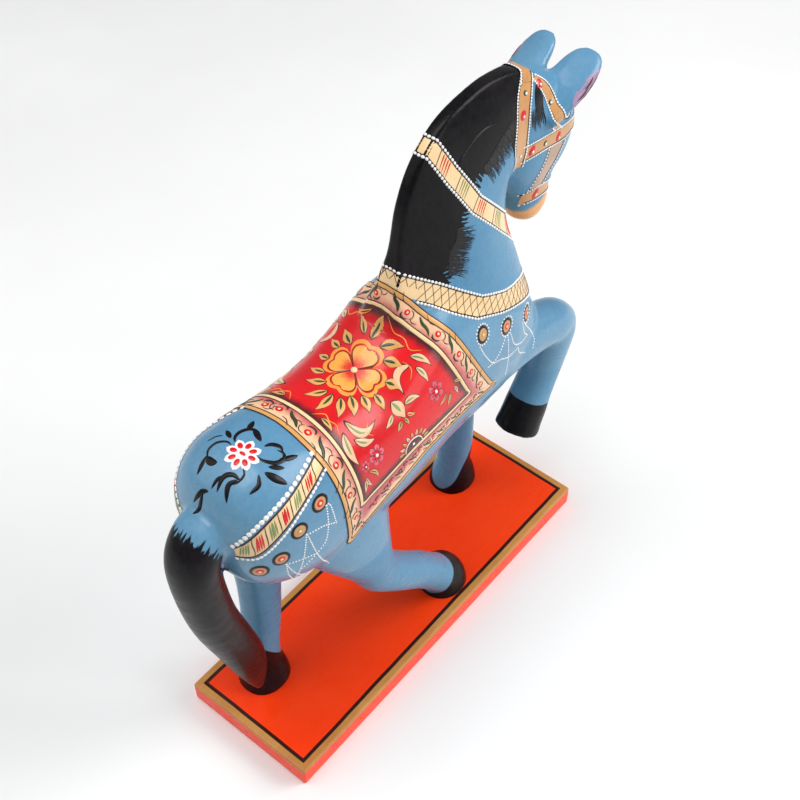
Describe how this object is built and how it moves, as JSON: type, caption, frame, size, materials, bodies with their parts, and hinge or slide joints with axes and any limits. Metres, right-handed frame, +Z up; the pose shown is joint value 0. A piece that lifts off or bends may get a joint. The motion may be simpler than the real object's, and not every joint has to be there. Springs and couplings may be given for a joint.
{
  "type": "painted wooden horse figurine",
  "caption": "Carved wooden horse with painted saddle cloth and harness, one foreleg raised, standing on a rectangular base board.",
  "frame": {"origin": "centre of the base board's underside", "axes": "+Z up; the horse faces -Y and its left side is +X"},
  "size_m": [0.077, 0.2612, 0.3029],
  "materials": {
    "blue_lacquer": "gloss lacquer over blue paint",
    "black_lacquer": "gloss lacquer over black paint",
    "orange_lacquer": "satin lacquer over orange-red paint",
    "gold_enamel": "gloss brushed ornament",
    "white_enamel": "gloss raised dots and lines",
    "red_enamel": "gloss brushed ornament",
    "green_enamel": "gloss brushed ornament",
    "raw_wood": "unpainted",
    "steel": "plain"
  },
  "bodies": {
    "root": {"trunk": "blue_lacquer", "neck": "blue_lacquer", "head": "blue_lacquer", "ear_left": "blue_lacquer", "ear_right": "blue_lacquer", "front_leg_left": "blue_lacquer", "front_leg_right_upper": "blue_lacquer", "front_leg_right_lower": "blue_lacquer", "hind_leg_left": "blue_lacquer", "hind_leg_right": "blue_lacquer", "tail": "black_lacquer", "base_board": "orange_lacquer", "ear_peg_left": "raw_wood", "ear_peg_right": "raw_wood", "head_dowel": "raw_wood", "neck_dowel_rear": "raw_wood", "neck_dowel_front": "raw_wood", "foreleg_dowel": "raw_wood", "knee_dowel": "raw_wood", "front_leg_dowel": "raw_wood", "hind_leg_dowel_left": "raw_wood", "hind_leg_dowel_right": "raw_wood", "tail_dowel": "raw_wood", "hoof_screw_front_left": "steel", "hoof_screw_hind_left": "steel", "hoof_screw_hind_right": "steel"}
  },
  "joints": []
}
